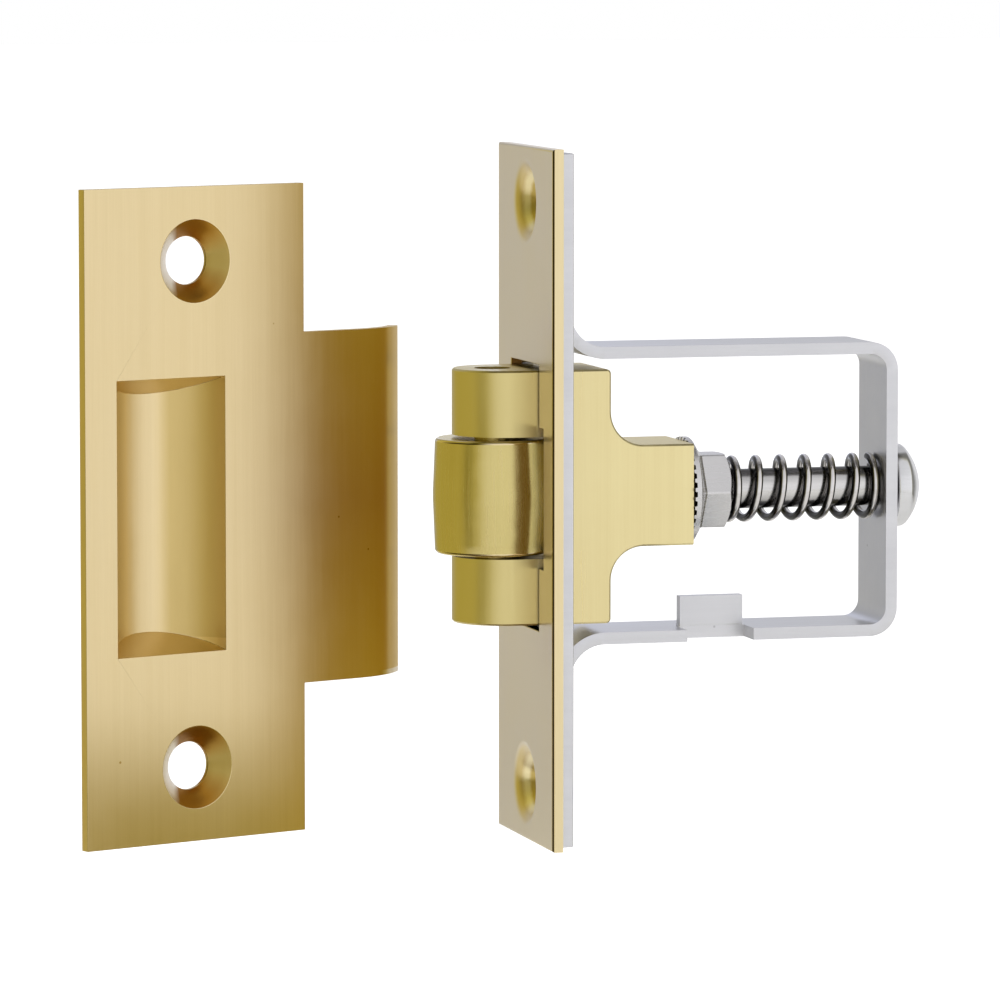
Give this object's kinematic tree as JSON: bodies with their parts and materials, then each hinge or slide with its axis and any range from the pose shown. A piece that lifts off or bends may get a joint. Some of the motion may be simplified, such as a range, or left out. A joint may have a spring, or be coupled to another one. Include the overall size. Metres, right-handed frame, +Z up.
{
  "type": "roller latch with strike plate",
  "caption": "Sprung mortice roller latch for a door edge, with a folded steel strap, an adjusting screw and a lipped strike plate with a scooped pocket.",
  "frame": {"origin": "on the latch axis, midway between the faceplate's two screw holes and level with their straight walls, 2.1 mm behind the faceplate's front", "axes": "+X into the door along the screw, -X out of the door edge where the roller stands, Y across the faceplate, +Z up along the faceplate"},
  "size_m": [0.0974, 0.0261, 0.0762],
  "materials": {
    "satin_brass": "satin brushed brass",
    "zinc_steel": "bright zinc plated steel",
    "polished_steel": "polished steel"
  },
  "bodies": {
    "frame": {"faceplate": "satin_brass", "back_plate": "zinc_steel", "strap": "zinc_steel", "strike_plate": "satin_brass"},
    "plunger": {"lock_nut": "zinc_steel", "compression_spring": "polished_steel"},
    "carrier": {"roller_carrier": "satin_brass", "roller_axle": "satin_brass"},
    "screw": {"adjusting_screw": "polished_steel"},
    "roller": {"roller": "satin_brass"}
  },
  "joints": [
    {"name": "bolt_press", "type": "slide", "parent": "frame", "child": "plunger", "axis": [1, 0, 0], "range_m": [0, 0.009], "stiffness_N_per_m": 2450, "springref_m": -0.005, "deforming": ["compression_spring"]},
    {"name": "projection_adjust", "type": "slide", "parent": "plunger", "child": "carrier", "axis": [-1, 0, 0], "range_m": [0, 0.0024]},
    {"name": "screw_turn", "type": "hinge", "parent": "plunger", "child": "screw", "pos_m": [0.03, 0, 0], "axis": [1, 0, 0], "range_deg": [0, 1080]},
    {"name": "roller_spin", "type": "hinge", "parent": "carrier", "child": "roller", "pos_m": [-0.0058, 0, 0], "axis": [0, 0, 1], "continuous": true}
  ],
  "couplings": [
    {"joint": "screw_turn", "follows": "projection_adjust", "rad_per_m": 7854}
  ]
}
